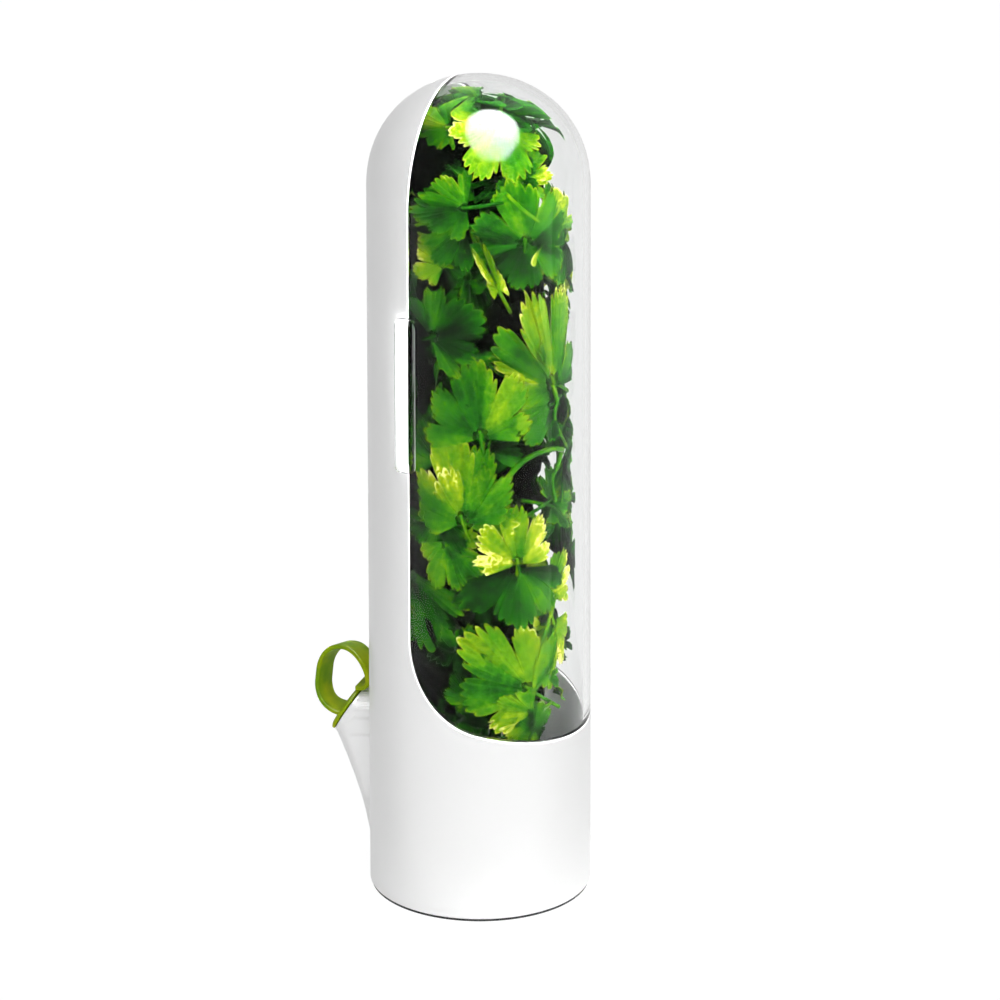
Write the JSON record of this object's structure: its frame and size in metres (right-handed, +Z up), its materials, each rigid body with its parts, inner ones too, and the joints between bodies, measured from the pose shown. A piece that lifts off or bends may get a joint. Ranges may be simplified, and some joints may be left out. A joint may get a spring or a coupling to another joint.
{
  "type": "herb keeper",
  "caption": "Upright domed herb keeper with a water cup, a clear hinged front door and a filling spout closed by a soft plug with a finger loop.",
  "frame": {"origin": "on the body's axis, on the underside of the foot pad", "axes": "+Z up along the body's axis, the door faces -Y, the spout points to +Y, the hinge is on the +X side"},
  "size_m": [0.0738, 0.0899, 0.271],
  "materials": {
    "white_shell": "gloss moulded",
    "clear_door": "clear moulded plastic",
    "foot_rubber": "matte",
    "pin_steel": "drawn wire",
    "green_silicone": "satin"
  },
  "bodies": {
    "shell": {"back_shell": "white_shell", "base_plate": "white_shell", "foot_pad": "foot_rubber", "hinge_pin_upper": "pin_steel", "hinge_pin_lower": "pin_steel"},
    "door": {"front_door": "clear_door"},
    "plug": {"spout_plug": "green_silicone"}
  },
  "joints": [
    {"name": "door_hinge", "type": "hinge", "parent": "shell", "child": "door", "pos_m": [0.03621, 0.0112, 0.155], "axis": [0, 0, 1], "range_deg": [0, 110]},
    {"name": "plug_pull", "type": "slide", "parent": "shell", "child": "plug", "axis": [0, 0.8572, 0.515], "range_m": [0, 0.03]}
  ]
}
